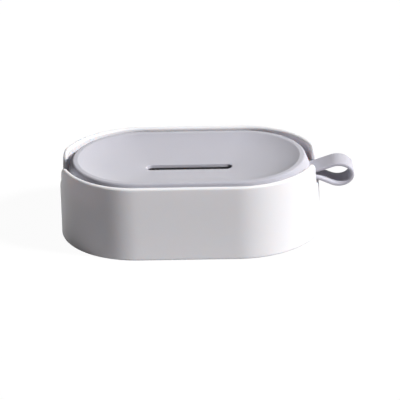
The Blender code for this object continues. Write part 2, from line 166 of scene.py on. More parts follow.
class SoapBoxTray(PropertyGroup):
    """Sizes of the grey tray."""

    end_radius: metres("End radius", TRAY_HIGH.y, "Outer radius of the skirt's foot")
    bottom: metres("Bottom", TRAY_LOW.z, "Height of the skirt's foot")
    top: metres("Top", TRAY_HIGH.z, "Height of the tray's edge")
    thickness: mm("Thickness", 1.8, "Thickness of the deck and the skirt")
    foot: mm("Foot", 1.5, "Height of the skirt's upright foot")
    foot_round: mm("Foot round", 0.45, "Radius of the foot's edges")
    knee_round: mm("Knee", 0.5, "Softness of the bend above the foot")
    skirt_angle: angle("Skirt angle", 20.0, "How far the skirt leans in from upright")
    crest: mm("Crest", 1.5, "Radius from the skirt over to the lip")
    lip: mm("Lip", 1.9, "Width of the sloped lip inside the crest")
    lip_slope: angle("Lip slope", 1.5, "How far the lip rises towards the dish")
    lip_edge: mm("Lip edge", 0.16, "Softness where the lip meets the dish")
    dish_depth: mm("Dish depth", 6.0, "Depth of the dish at the drain slot")
    dish_slope: number("Dish slope", 0.45, "Share of the depth that is an even slope")
    dish_curve: number("Dish curve", 3.6, "Power of the rest of the dish's fall")
    slot_length: mm("Slot length", 46.4, "Length of the drain slot at its top")
    slot_width: mm("Slot width", 6.6, "Width of the drain slot at its top")
    slot_draft: angle("Slot draft", 20.0, "How far the slot's walls lean in below")
    slot_round: mm("Slot round", 0.35, "Radius of the drain slot's edges")
    window_width: mm("Window width", 15.2, "Width of the strap's window in the skirt")
    window_height: mm("Window height", 4.56, "Height of the strap's window")
    window_reach: mm("Window reach", 4.5, "How far the window's cut goes each way")
    boss: mm("Boss", 4.5, "Radius of the pin's boss")
    bore: mm("Bore", 2.2, "Radius of the boss's hole")
    boss_round: mm("Boss round", 0.4, "Radius of the boss's lower edges")
    boss_gap: mm("Boss gap", 0.3, "Between the boss and the strap's tail")
    tint: paint("Colour", (0.525, 0.518, 0.57), "Grey plastic")


class SoapBoxStrap(PropertyGroup):
    """Sizes of the rubber strap and its pin."""

    width: metres("Width", TAIL_HIGH.y - TAIL_LOW.y, "Width of the rubber band")
    thickness: mm("Thickness", 1.8, "Thickness of the rubber band")
    edge_round: mm("Edge round", 0.72, "Radius of the band's edges")
    loop_reach: mm("Loop reach", 7.6, "Half the loop's length along the strap")
    loop_height: mm("Loop height", 5.8, "Half the loop's height")
    merge_offset: mm("Merge", 3.2, "How far inside the bend the two legs would meet")
    settle: mm("Settle", 4.0, "How far inside the bend the legs come to lie flat")
    layer_gap: mm("Layer gap", 0.04, "Between the tail's two layers")
    bend: mm("Bend", 0.5, "How gently the legs leave the tail")
    droop: angle("Droop", 4.0, "How far the loop hangs below level")
    skew: angle("Skew", 4.0, "How far the loop is turned towards the wall")
    corner: mm("Corner", 3.0, "Radius of the tail's corners")
    end_thinning: number("End thinning", 0.6, "Share of the edge round off the ends")
    flex_reach: mm("Flex", 2.4, "Half the stretch over which the strap bends")
    shank: mm("Shank", 1.9, "Radius of the pin's shank")
    head: mm("Head", 1.3, "Thickness of the pin's head")
    pin_gap: mm("Pin gap", 0.1, "Between the pin's shank and the strap")
    tint: paint("Colour", (0.54, 0.53, 0.588), "Grey rubber")
    pin_tint: paint("Pin colour", (0.8, 0.8, 0.76), "Natural nylon")


class SoapBoxHanger(PropertyGroup):
    """Sizes of the hook plate and its adhesive pad."""

    plate: mm("Plate", 2.2, "Thickness of the hook plate")
    corner: mm("Corner", 4.0, "Radius of the plate's corners")
    edge_round: mm("Edge round", 0.6, "Radius of the plate's edges")
    hook_length: mm("Hook length", 30.0, "Length of the hook along the case")
    neck: mm("Neck", 2.3, "Thickness of the hook's neck")
    neck_bottom: mm("Neck bottom", 17.4, "Height of the neck's underside")
    tongue: mm("Tongue", 2.0, "Thickness of the hook's upright tongue")
    tongue_top: mm("Tongue top", 27.5, "Height of the tongue's top")
    hook_bend: mm("Hook bend", 1.9, "Radius of the hook's middle line at its bend")
    tongue_round: mm("Tongue round", 0.9, "Radius of the tongue's top edges")
    tongue_corner: mm("Tongue corner", 1.5, "Radius of the tongue's upper corners")
    pad_corner: mm("Pad corner", 3.0, "Radius of the adhesive pad's corners")
    pad_round: mm("Pad round", 0.15, "Radius of the adhesive pad's edges")
    pad_swell: mm("Pad swell", 0.2, "How far the foam swells at its sides")
    tint: paint("Colour", (0.84, 0.84, 0.85), "White plastic")
    pad_tint: paint("Pad colour", (0.7, 0.72, 0.72), "Adhesive foam")


class SoapBoxStudio(PropertyGroup):
    """Places and strengths of the camera, the lamp and the floor."""

    azimuth: angle("Azimuth", 2.4, "The camera's place round the object")
    elevation: angle("Elevation", 23.6, "The camera's angle above the floor")
    roll: angle("Roll", 1.9, "How far the picture is turned anticlockwise")
    distance: metres("Distance", 3.33, "From the camera to the object")
    scale: number("Scale", 1842.0, "Pixels of the photograph to a metre at the object")
    origin_pixel: FloatVectorProperty(
        name="Origin pixel", size=2, default=(191.1, 227.75),
        description="Where the photograph shows the middle of the base",
    )
    key_azimuth: angle("Key azimuth", 70.6, "The key lamp's place round the object")
    key_elevation: angle("Key elevation", 40.0, "The key lamp's angle above the floor")
    key_spread: angle("Key spread", 9.0, "Width of the key lamp as the object sees it")
    key_strength: number("Key strength", 4.37, "Strength of the key lamp")
    sky_strength: number("Sky strength", 0.05, "Strength of the soft light all round")
    sky_tint: paint("Sky colour", (1.0, 0.965, 1.0), "Colour of the soft light all round")
    floor_size: metres("Floor size", 8.0, "Side of the pale floor")
    floor_gap: mm("Floor gap", 0.05, "How far the floor lies below the base")
    floor_glow: number("Floor glow", 0.96, "Brightness of the floor that is seen")
    floor_shade: number("Floor shade", 0.05, "Grey that carries the object's shadow")
    floor_tint: paint("Floor colour", (0.42, 0.41, 0.42), "The floor as it lights the object")


def quarter_turn(steps):
    """Angles from 0 to a quarter turn, both included."""
    return np.linspace(0, pi / 2, steps + 1)


def eased(share):
    """A smooth step from 0 to 1 as the share goes from 0 to 1."""
    share = np.clip(share, 0, 1)
    return share**2 * (3 - 2 * share)


def unit(vectors):
    """Vectors scaled to length 1 along the last axis."""
    return vectors / np.maximum(np.linalg.norm(vectors, axis=-1, keepdims=True), 1e-12)


def arc_points(centre, radius, start, end, steps):
    """Points of a circle's arc as (first, second) coordinates, both ends included."""
    turns = np.linspace(start, end, steps + 1)
    return np.asarray(centre) + radius * np.stack([np.cos(turns), np.sin(turns)], axis=-1)


def parabola(start, corner, end, steps):
    """Points of the curve that leaves start towards the corner and comes to end from it."""
    share = np.linspace(0, 1, steps + 1)[:, None]
    return (1 - share) ** 2 * start + 2 * share * (1 - share) * corner + share**2 * end


def corner_arcs(steps):
    """(signs, directions) of the points round a rectangle with round corners, anticlockwise.

    The signs tell which corner a point belongs to. The directions point out of that corner's arc.
    """
    signs = np.repeat([(1, 1), (-1, 1), (-1, -1), (1, -1)], steps + 1, axis=0)
    turns = np.concatenate([quarter_turn(steps) + i * pi / 2 for i in range(4)])
    return signs, np.stack([np.cos(turns), np.sin(turns)], axis=-1)


def grid_mesh(name, points, ends="poles"):
    """A mesh of quads over rows of points whose columns close on themselves.

    points has the shape (rows, columns, 3). A quad's normal is the direction of its columns crossed
    with that of its rows. The end rows have shrunk to poles or lines, are joined to each other, or
    are capped with one flat face each. Points that coincide are merged.
    """
    rows, columns = points.shape[:2]
    i = np.arange(rows if ends == "joined" else rows - 1)[:, None]
    j = np.arange(columns)[None, :]
    i_next, j_next = (i + 1) % rows, (j + 1) % columns
    low, high = i * columns, i_next * columns
    faces = np.stack([low + j, low + j_next, high + j_next, high + j], axis=-1)
    faces = faces.reshape(-1, 4).tolist()
    if ends == "capped":
        faces.append(list(range(columns))[::-1])
        faces.append(list(range((rows - 1) * columns, rows * columns)))
    mesh = bpy.data.meshes.new(name)
    mesh.from_pydata(points.reshape(-1, 3).tolist(), [], faces)
    bm = bmesh.new()
    bm.from_mesh(mesh)
    bmesh.ops.remove_doubles(bm, verts=bm.verts, dist=MERGE_DISTANCE)
    bm.to_mesh(mesh)
    bm.free()
    mesh.shade_smooth()
    return mesh


def combined(piece, operation, others):
    """Joins solids to a piece, or cuts them out of it, and removes them."""
    bm = bmesh.new()
    for other in others:
        bm.from_mesh(other)
        bpy.data.meshes.remove(other)
    tool_mesh = bpy.data.meshes.new(piece.name + "_tool")
    bm.to_mesh(tool_mesh)
    bm.free()
    tool_mesh.shade_smooth()
    tool = shown(tool_mesh)
    boolean = piece.modifiers.new("shape", "BOOLEAN")
    boolean.operation = operation
    boolean.solver = "EXACT"
    boolean.object = tool
    graph = bpy.context.evaluated_depsgraph_get()
    plain, shaped = piece.data, bpy.data.meshes.new_from_object(piece.evaluated_get(graph))
    if not shaped.polygons:
        raise RuntimeError(f"{piece.name}: {operation} left nothing")
    piece.modifiers.clear()
    piece.data = shaped
    bpy.data.batch_remove([plain, tool, tool_mesh])
    shaped.name = piece.name
    shaped.set_sharp_from_angle(angle=SHARP_ANGLE)


def block(name, low, high):
    """A plain box between two corners, for cutting."""
    mesh = bpy.data.meshes.new(name)
    bm = bmesh.new()
    low, high = Vector(low), Vector(high)
    place = Matrix.Translation((low + high) / 2) @ Matrix.Diagonal((*(high - low), 1))
    bmesh.ops.create_cube(bm, size=1, matrix=place)
    bm.to_mesh(mesh)
    bm.free()
    return mesh


def shown(data):
    """An object at the origin for a mesh, a lamp or a camera, with the same name."""
    thing = bpy.data.objects.new(data.name, data)
    bpy.context.scene.collection.objects.link(thing)
    return thing


def finished(piece, nodes, slot, tint, **looks):
    """Gives a piece its slot and the slot's material, and lets it stand for its nodes."""
    piece.data.materials.clear()
    piece.data.materials.append(moulded(slot, tint, **looks))
    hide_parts(*nodes)


def notch_line(case):
    """(y, z) along half a rim notch, from the middle of its floor up to the rim.

    A flat floor, a concave corner arc, a straight side that leans outwards and a convex shoulder
    arc, each tangent to the next.
    """
    lean, bottom = case.notch_lean, case.height - case.notch_depth
    corner_y, corner_z = case.notch_width / 2 - case.corner * cos(lean), bottom + case.corner
    low = arc_points((corner_y, corner_z), case.corner, -pi / 2, -lean, 14)
    side_top = case.height - case.shoulder + case.shoulder * sin(lean)
    shoulder_y = low[-1, 0] + (side_top - low[-1, 1]) * tan(lean) + case.shoulder * cos(lean)
    centre = (shoulder_y, case.height - case.shoulder)
    high = arc_points(centre, case.shoulder, pi - lean, pi / 2, 20)
    floor = np.stack([np.linspace(0, corner_y, 8)[:-1], np.full(7, bottom)], axis=-1)
    side = low[-1] + (high[0] - low[-1]) * np.linspace(0, 1, 10)[1:-1, None]
    return np.concatenate([floor, low, side, high])


def case_columns(case):
    """(rim place, rim height, base place) of each column round the case.

    Places are lengths along the outer outline from the middle of the right-hand notch. Below a
    notch, and for FAN_COLUMNS on both its sides, the base places are spread by the length of the
    rim's line, so that the columns fan out evenly. One quarter is mirrored, and both are repeated.
    """
    radius = case.width / 2
    quarter, half_straight = pi * radius / 2, case.length / 2 - radius
    side = quarter + half_straight
    notch = notch_line(case)
    notch_place = radius * np.arcsin(notch[:, 0] / radius)
    bend = np.linspace(notch_place[-1], quarter, 34)[1:]
    straight = np.linspace(quarter, side, 14)[1:]
    place = np.concatenate([notch_place, bend, straight])
    height = np.concatenate([notch[:, 1], np.full(len(bend) + len(straight), case.height)])
    run = np.concatenate([[0], np.cumsum(np.hypot(np.diff(place), np.diff(height)))])
    last = len(notch) + FAN_COLUMNS
    base = np.where(np.arange(len(place)) < last, place[last] * run / run[last], place)

    def all_round(values, half=2 * side, sign=-1):
        back = sign * values[-2::-1]
        return np.concatenate([values, half + back, half + values[1:], 2 * half + back[:-1]])

    return all_round(place), all_round(height, 0, 1), all_round(base)


def on_case(case, place, inset, height):
    """Points at places along the case's outer outline, moved in by the inset, at a height.

    What a place has passed of the straight walls shifts the arc's centre, and the rest turns.
    """
    radius = case.width / 2
    quarter, straight = pi * radius / 2, case.length - 2 * radius
    place, inset, height = np.broadcast_arrays(place, inset, height)
    place = place % (4 * quarter + 2 * straight)
    back = np.clip(place - quarter, 0, straight)
    front = np.clip(place - 3 * quarter - straight, 0, straight)
    turn, inner = (place - back - front) / radius, radius - inset
    x = straight / 2 - back + front + inner * np.cos(turn)
    return np.stack([x, inner * np.sin(turn), height], axis=-1)


def case_surface(case):
    """The case as one closed grid: base, outer wall, rounded rim, inner wall and inner floor.

    The wall is a flat sheet bent round the outline. In the sheet's plane each column runs straight
    from the base to its point of the rim's line. The rim's rounds are quarter circles in the plane
    that holds that line's normal and the wall's thickness.
    """
    place, height, base = case_columns(case)
    wall, foot, radius = case.wall, case.base_round, case.width / 2
    outer, inner, rim_wall = case.rim_round, case.rim_inner, wall + case.rim_bead
    total = 2 * pi * radius + 4 * (case.length / 2 - radius)
    step = np.roll(place, -1) - np.roll(place, 1)
    step = (step + total / 2) % total - total / 2
    along = unit(np.stack([step, np.roll(height, -1) - np.roll(height, 1)], axis=-1))
    into_place, into_height = along[:, 1], -along[:, 0]
    floor_top = wall + case.floor_round
    first_share = 0.006
    shares = np.concatenate([[first_share], np.linspace(0, 1, 26)[1:-1], [1 - first_share]])
    inner_insets = radius * np.linspace(1.0, 0.25, 4)
    base_insets = (*inner_insets, 4 * foot, 1.15 * foot)
    floor_insets = (1.1 * floor_top, *inner_insets[::-1])

    def wall_row(share, inset, bottom, rim):
        across = base + (place + rim * into_place - base) * share
        top = height + rim * into_height
        return on_case(case, across, inset, bottom + (top - bottom) * share)

    def rim_row(depth, inset):
        return on_case(case, place + depth * into_place, inset, height + depth * into_height)

    rows = [on_case(case, base, inset, 0.0) for inset in base_insets]
    for turn in quarter_turn(7)[::-1]:
        rows.append(on_case(case, base, foot * (1 - cos(turn)), foot * (1 - sin(turn))))
    rows += [wall_row(share, 0.0, foot, outer) for share in shares]
    rows += [rim_row(outer * (1 - sin(turn)), outer * (1 - cos(turn))) for turn in quarter_turn(9)]
    for turn in quarter_turn(9)[::-1]:
        rows.append(rim_row(inner * (1 - sin(turn)), rim_wall - inner * (1 - cos(turn))))
    for share in shares[::-1]:
        drop = (1 - share) * (height + inner * into_height - floor_top)
        inset = rim_wall - case.rim_bead * eased(drop / case.bead_height)
        rows.append(wall_row(share, inset, floor_top, inner))
    for turn in quarter_turn(7):
        inset = wall + case.floor_round * (1 - cos(turn))
        rows.append(on_case(case, base, inset, floor_top - case.floor_round * sin(turn)))
    rows += [on_case(case, base, inset, wall) for inset in floor_insets]
    return np.stack(rows)


def post_surface(centre, size, turn, edge, steps=4):
    """An upright post turned about Z: a rounded rectangle whose top edge is rounded too.

    Each ring is the rectangle of the corner arcs' centres plus a share of the edge radius, and the
    end rings shrink to the axis.
    """
    signs, directions = corner_arcs(steps)
    core, away = signs * (np.array(size[:2]) / 2 - edge), edge * directions
    bottom, top = centre[2] - size[2] / 2, centre[2] + size[2] / 2
    rings = [(core * 0, bottom), (core + away, bottom)]
    rings += [(core + away * cos(t), top - edge + edge * sin(t)) for t in quarter_turn(steps)]
    rings.append((core * 0, top))
    spin = np.array([[cos(turn), sin(turn)], [-sin(turn), cos(turn)]])
    flats = [(ring @ spin + centre[:2], np.full(len(ring), height)) for ring, height in rings]
    return np.stack([np.column_stack(flat) for flat in flats])


def rib_surfaces(case, tray_bottom):
    """The eight ribs that carry the tray: four on the straight walls, four on the round ends."""
    radius = case.width / 2
    half_straight = case.length / 2 - radius
    sunk = case.wall / 2
    depth = case.rib_reach + sunk
    middle = radius - case.wall + sunk - depth / 2
    top = tray_bottom - case.rib_gap
    height, lift = top - sunk, (top + sunk) / 2
    thickness, edge, lean = case.rib_thickness, case.rib_thickness / 3, case.rib_angle
    surfaces = []
    for side in (-1, 1):
        for end in (-1, 1):
            place = (end * half_straight * case.rib_share, side * middle, lift)
            surfaces.append(post_surface(place, (thickness, depth, height), 0.0, edge))
            x, y = end * (half_straight + middle * cos(lean)), side * middle * sin(lean)
            spin = lean * side * end
            surfaces.append(post_surface((x, y, lift), (depth, thickness, height), spin, edge))
    return surfaces


def tray_rows(case, tray, softness):
    """(half straight, radius, z) of each ring of the tray's outer side, from the foot to the slot.

    An upright foot, a skirt that leans in, a crest arc, a lip that rises inwards and a dish. With s
    from 0 at the dish's edge to 1 at the slot, the fall is a share of s and, for the rest of the
    depth, 1 - (1 - s) to a power. The lip and the dish meet in a smooth minimum of their heights.
    """
    slant, slope, crest = tray.skirt_angle, tray.lip_slope, tray.crest
    half_straight = case.length / 2 - case.width / 2
    foot_top = tray.bottom + tray.foot
    crest_z = tray.top - tray.lip * tan(slope) - crest * cos(slope)
    skirt_top = crest_z + crest * sin(slant)
    skirt_radius = tray.end_radius - (skirt_top - foot_top) * tan(slant)
    centre = (skirt_radius - crest * cos(slant), crest_z)
    over = arc_points(centre, crest, slant, pi / 2 - slope, 16)
    knee = np.array([tray.end_radius, foot_top])
    above = knee + tray.knee_round * np.array([-sin(slant), cos(slant)])
    bend = parabola(knee - [0, tray.knee_round], knee, above, 5)
    skirt = above + (over[0] - above) * np.linspace(0, 1, 10)[1:-1, None]
    foot = np.array([[tray.end_radius, tray.bottom + tray.foot_round]])
    outer = np.concatenate([foot, bend, skirt, over])
    edge_radius, slot_radius = over[-1, 0] - tray.lip, tray.slot_width / 2
    run = edge_radius - slot_radius
    slot_straight = tray.slot_length / 2 - slot_radius
    near, far, last = 0.4 * MM, 5 * MM, run - 1.4 * tray.slot_round
    stretches = (
        np.linspace(-tray.lip, -near, 6)[1:-1],
        np.linspace(-near, near, 13),
        np.linspace(near, far, 14)[1:],
        np.linspace(far, last, 44)[1:],
        [run],
    )
    inward = np.concatenate(stretches) / run
    ahead, behind = np.maximum(inward, 0), np.minimum(inward, 0)
    lip_height = tray.top + tan(slope) * run * inward
    curved = 1 - (1 - ahead) ** tray.dish_curve + tray.dish_curve * behind
    fall = tray.dish_slope * inward + (1 - tray.dish_slope) * curved
    dish_height = tray.top - tray.dish_depth * fall
    overlap = np.maximum(softness - np.abs(lip_height - dish_height), 0)
    height = np.minimum(lip_height, dish_height) - overlap**2 / (4 * softness)
    straight = half_straight + (slot_straight - half_straight) * ahead
    outer = np.column_stack([np.full(len(outer), half_straight), outer])
    return np.concatenate([outer, np.column_stack([straight, edge_radius - run * inward, height])])


def stadium_rings(rows, end_steps=72, straight_steps=18):
    """Stadium outlines, anticlockwise, of rows of (half straight, radius, z)."""
    half, radius, height = rows[:, 0:1], rows[:, 1:2], rows[:, 2:3]
    turn = np.linspace(-pi / 2, pi / 2, end_steps + 1)[None, :]
    end_x, end_y = half + radius * np.cos(turn), radius * np.sin(turn)
    share = np.linspace(1, -1, straight_steps + 1)[None, 1:-1]
    side_x, side_y = half * share, radius + 0 * share
    x = np.concatenate([end_x, side_x, -end_x, -side_x], axis=1)
    y = np.concatenate([end_y, side_y, -end_y, -side_y], axis=1)
    return np.stack([x, y, height + 0 * x], axis=-1)


def ring_frame(points):
    """(normal, direction along the rows) of a grid of rings, by differences."""
    along = np.gradient(points, axis=0)
    around = np.roll(points, -1, axis=1) - np.roll(points, 1, axis=1)
    return unit(np.cross(around, along)), unit(along)


def edge_rows(edge, normal, way, radius, thickness, draft=0.0):
    """Half a turn round a sheet's edge: two quarter circles and the flat between them.

    edge is the outer side's last ring, normal points out of the outer side, and way points on past
    the edge. With a draft, the deeper points reach further past it.
    """
    rows = []
    for depth, sign in ((radius, 1), (thickness - radius, -1)):
        centre = edge - radius * way - depth * normal
        for t in quarter_turn(7)[::sign]:
            reach = radius * sin(t) + tan(draft) * (depth - sign * radius * cos(t))
            rows.append(centre + sign * radius * cos(t) * normal + reach * way)
    return rows


def tray_surface(case, tray):
    """The tray as one closed grid: outer side, slot edge, underside and foot.

    The underside is the outer side, with a softer lip's edge so that it doesn't fold there, moved
    along its normals by the thickness.
    """
    outer = stadium_rings(tray_rows(case, tray, tray.lip_edge))
    soft = stadium_rings(tray_rows(case, tray, tray.thickness / 2))
    normal, way = ring_frame(outer)
    under = soft - tray.thickness * ring_frame(soft)[0]
    slot = edge_rows(
        outer[-1], normal[-1], way[-1], tray.slot_round, tray.thickness, tray.slot_draft
    )
    down, flat = np.array([0, 0, -1.0]), unit(normal[0] * np.array([1, 1, 0]))
    foot_end = outer[0] + tray.foot_round * down
    foot = edge_rows(foot_end, flat, down, tray.foot_round, tray.thickness)
    return np.stack([*foot[::-1], *outer[1:-1], *slot, *under[1:-1][::-1]])


def turned(profile, columns=64):
    """A surface turned about the pin's axis; the profile's rows are (radius, z)."""
    turn = np.linspace(0, 2 * pi, columns, endpoint=False)[None, :]
    radius, height = profile[:, 0:1], profile[:, 1:2]
    x, y = PIN_CENTRE[0] + radius * np.cos(turn), PIN_CENTRE[1] + radius * np.sin(turn)
    return np.stack([x, y, height + 0 * x], axis=-1)


def rounded_profile(corners, steps=5):
    """A profile through corners of (radius, z, round), each cut by a curve where it has a round.

    A round corner is the parabola that starts and ends that far from the corner on its two sides.
    """
    places = np.array([corner[:2] for corner in corners])
    line = [places[0]]
    for i in range(1, len(corners) - 1):
        reach = corners[i][2]
        if not reach:
            line.append(places[i])
            continue
        start = places[i] + reach * unit(places[i - 1] - places[i])
        end = places[i] + reach * unit(places[i + 1] - places[i])
        line.extend(parabola(start, places[i], end, steps))
    line.append(places[-1])
    return np.array(line)


def boss_surface(case, tray):
    """A short tube with a blind hole, whose top lies in the middle of the deck's thickness.

    The deck's height is read along the long axis, from the dish's rings.
    """
    edge = tray.boss_round
    bottom, roof = TAIL_HIGH.z + tray.boss_gap, PIN_HIGH.z + tray.boss_gap
    corners = [
        (0.0, roof, 0.0),
        (tray.bore, roof, edge / 2),
        (tray.bore, bottom, edge),
        (tray.boss, bottom, edge),
        (tray.boss, roof, 0.0),
        (0.0, roof, 0.0),
    ]
    points = turned(rounded_profile(corners))
    rows = tray_rows(case, tray, tray.lip_edge)
    dish = rows[np.argmax(rows[:, 2]) :][::-1]
    deck = np.interp(points[-2:, :, 0], dish[:, 0] + dish[:, 1], dish[:, 2])
    points[-2:, :, 2] = deck - tray.thickness / 2
    return points


def strap_line(strap):
    """The band's middle line, (x, z) from the bend, from one end of the tail round to the other.

    In the tail each leg lies half a thickness and half a gap from the axis. Past the bend it
    follows the line that touches the loop's ellipse, and a smooth maximum joins the two.
    """
    reach, rise = strap.loop_reach, strap.loop_height
    centre = LOOP_HIGH.x - reach - strap.thickness / 2 - HINGE.x
    touch = pi / 2 + asin(reach / (centre + strap.merge_offset))
    tail_x, settle_x, touch_x = TAIL_LOW.x - HINGE.x, -strap.settle, centre + reach * cos(touch)
    x = np.concatenate([np.linspace(tail_x, settle_x, 16)[:-1], np.linspace(settle_x, touch_x, 60)])
    flat = (strap.thickness + strap.layer_gap) / 2
    line = (x + strap.merge_offset) * rise * sin(touch) / (touch_x + strap.merge_offset)
    height = (flat + line + np.hypot(flat - line, strap.bend)) / 2
    height = flat + (height - flat) * eased((x - tail_x) / (settle_x - tail_x))
    height += (line[-1] - height[-1]) * np.clip(x / touch_x, 0, 1)
    leg = np.stack([x, height], axis=-1)
    loop = arc_points((0.0, 0.0), 1.0, touch, -touch, 90)[1:-1] * [reach, rise] + [centre, 0.0]
    path = np.concatenate([leg, loop, leg[::-1] * [1, -1]])
    return swung(path, -strap.droop)


def swung(points, turn, start=-1 * MM, stretch=5 * MM):
    """Points past the bend turned about it in the plane of their first two axes.

    The turn grows in over a stretch that starts just inside the bend.
    """
    a, b = points[..., 0], points[..., 1]
    turn = turn * eased((a - start) / stretch)
    result = points.copy()
    result[..., 0] = a * np.cos(turn) - b * np.sin(turn)
    result[..., 1] = a * np.sin(turn) + b * np.cos(turn)
    return result


def run_of(line):
    """The length run along a line at each of its points."""
    return np.concatenate([[0], np.cumsum(np.linalg.norm(np.diff(line, axis=0), axis=1))])


def resampled(line, places):
    """Points of a line at lengths along it."""
    run = run_of(line)
    return np.stack([np.interp(places, run, line[:, i]) for i in range(line.shape[1])], axis=-1)


def edge_inset(distance, radius):
    """How far a quarter circle of the radius lies inside its corner, at a distance from its end."""
    inside = np.clip(radius - distance, 0, radius)
    return radius - np.sqrt(radius**2 - inside**2)


def band_surface(line, half_width, half_thickness, edge):
    """A rounded rectangle carried along a line in a plane, as (along, across, up) points.

    half_width and half_thickness hold one value for each point of the line. The section turns with
    the line's normal, and its corner arcs keep their radius where the band narrows.
    """
    way = unit(np.gradient(line, run_of(line), axis=0))
    out = np.stack([-way[:, 1], way[:, 0]], axis=-1)
    signs, directions = corner_arcs(7)
    edge = np.minimum(edge, np.minimum(half_width, half_thickness))[:, None]
    across = signs[:, 0] * (half_width[:, None] - edge) + edge * directions[:, 0]
    lift = signs[:, 1] * (half_thickness[:, None] - edge) + edge * directions[:, 1]
    along = line[:, 0:1] + out[:, 0:1] * lift
    return np.stack([along, across, line[:, 1:2] + out[:, 1:2] * lift], axis=-1)


def end_graded(total, steps, near, near_steps):
    """Places from 0 to the total, drawn together over the near stretch at both ends."""
    close = near * (1 - np.cos(quarter_turn(near_steps)))
    middle = np.linspace(near, total - near, steps)
    return np.concatenate([close, middle[1:-1], total - close[::-1]])


def strap_surface(strap):
    """The whole rubber band carried along its line, with round corners at its two ends."""
    line = strap_line(strap)
    total = run_of(line)[-1]
    places = end_graded(total, 260, strap.corner, 14)
    distance = np.minimum(places, total - places)
    half_width = strap.width / 2 - edge_inset(distance, strap.corner)
    thinning = edge_inset(distance, strap.edge_round) * strap.end_thinning
    half_thickness = strap.thickness / 2 - thinning
    band = band_surface(resampled(line, places), half_width, half_thickness, strap.edge_round)
    return swung(band, strap.skew) + np.array(HINGE)


def pin_surface(strap):
    """The snap pin: a low round head, a shank and a barbed point, turned about its axis."""
    head_radius = (PIN_HIGH.x - PIN_LOW.x) / 2
    shank, head_top, tip = strap.shank, PIN_LOW.z + strap.head, PIN_HIGH.z
    face, side_bottom = head_radius * 0.72, PIN_LOW.z + strap.head * 0.45
    waist, waist_bottom, waist_top = shank * 0.92, head_top + 0.5 * MM, tip - 1.6 * MM
    barb_bottom, point = tip - 1.2 * MM, shank * 0.6
    soft, tight = 0.3 * MM, 0.15 * MM
    corners = [
        (0.0, PIN_LOW.z, 0.0),
        (face, PIN_LOW.z, soft),
        (head_radius, side_bottom, 0.35 * MM),
        (head_radius, head_top, tight),
        (shank, head_top, 0.2 * MM),
        (waist, waist_bottom, 0.2 * MM),
        (waist, waist_top, tight),
        (shank, barb_bottom, tight),
        (point, tip, soft),
        (0.0, tip, 0.0),
    ]
    return turned(rounded_profile(corners))


def pin_hole(strap):
    """The hole through both layers of the strap's tail."""
    radius, low, high = strap.shank + strap.pin_gap, TAIL_LOW.z - MM, TAIL_HIGH.z + MM
    return turned(np.array([(0.0, low), (radius, low), (radius, high), (0.0, high)]))


def slab_surface(low, high, corner, edge, bulge=0.0):
    """An upright plate: a rounded rectangle in XZ carried along Y with rounded edges.

    Rings run from the back face over its edge to the front face. A bulge swells the sides by a
    sine of the way across.
    """
    signs, directions = corner_arcs(12)
    inner_low, inner_high = np.array(low)[::2] + corner, np.array(high)[::2] - corner
    core = np.where(signs > 0, inner_high, inner_low)
    back = [(corner - edge + edge * sin(t), high[1] - edge * (1 - cos(t))) for t in quarter_turn(5)]
    front = [(reach, low[1] + high[1] - y) for reach, y in back[::-1]]
    middle = [(corner, y) for y in np.linspace(high[1] - edge, low[1] + edge, 8)[1:-1]]
    cap = corner - 1.6 * edge
    rings = [(cap, high[1]), *back, *middle, *front, (cap, low[1])]
    rows = []
    for reach, y in rings:
        swell = bulge * sin(pi * (y - low[1]) / (high[1] - low[1]))
        outline = core + (reach + swell) * directions
        rows.append(np.stack([outline[:, 0], np.full(len(outline), y), outline[:, 1]], axis=-1))
    return np.stack(rows)


def hook_surface(hanger):
    """The hook: a band from inside the plate through the window, bent up into its tongue."""
    neck_y, tongue_y = HOOK_HIGH.y - hanger.plate / 2, HOOK_LOW.y + hanger.tongue / 2
    neck_z, bend = hanger.neck_bottom + hanger.neck / 2, hanger.hook_bend
    turn = arc_points((tongue_y + bend, neck_z + bend), bend, -pi / 2, -pi, 12)
    line = np.concatenate([[(neck_y, neck_z)], turn, [(tongue_y, hanger.tongue_top)]])
    total = run_of(line)[-1]
    places = end_graded(total, 60, 1 * MM, 10)
    distance = total - places
    half = hanger.neck / 2 + (hanger.tongue - hanger.neck) / 2 * places / total
    half_thickness = half - edge_inset(distance, hanger.tongue_round)
    half_width = hanger.hook_length / 2 - edge_inset(distance, hanger.tongue_corner)
    band = band_surface(resampled(line, places), half_width, half_thickness, hanger.edge_round)
    return np.stack([-band[..., 1], band[..., 0], band[..., 2]], axis=-1)


class Tree:
    """A node tree that is filled by adding nodes with their inputs given by name or number."""

    def __init__(self, tree):
        self.tree = tree

    def add(self, kind, inputs=(), **settings):
        """Adds a node; a socket among the inputs is linked, and any other value is set."""
        node = self.tree.nodes.new(kind)
        for key, value in settings.items():
            setattr(node, key, value)
        for key, value in dict(inputs).items():
            if isinstance(value, bpy.types.NodeSocket):
                self.tree.links.new(value, node.inputs[key])
            else:
                node.inputs[key].default_value = value
        return node

    def maths(self, operation, *values):
        """Adds a Math node and gives its result."""
        return self.add("ShaderNodeMath", enumerate(values), operation=operation).outputs[0]


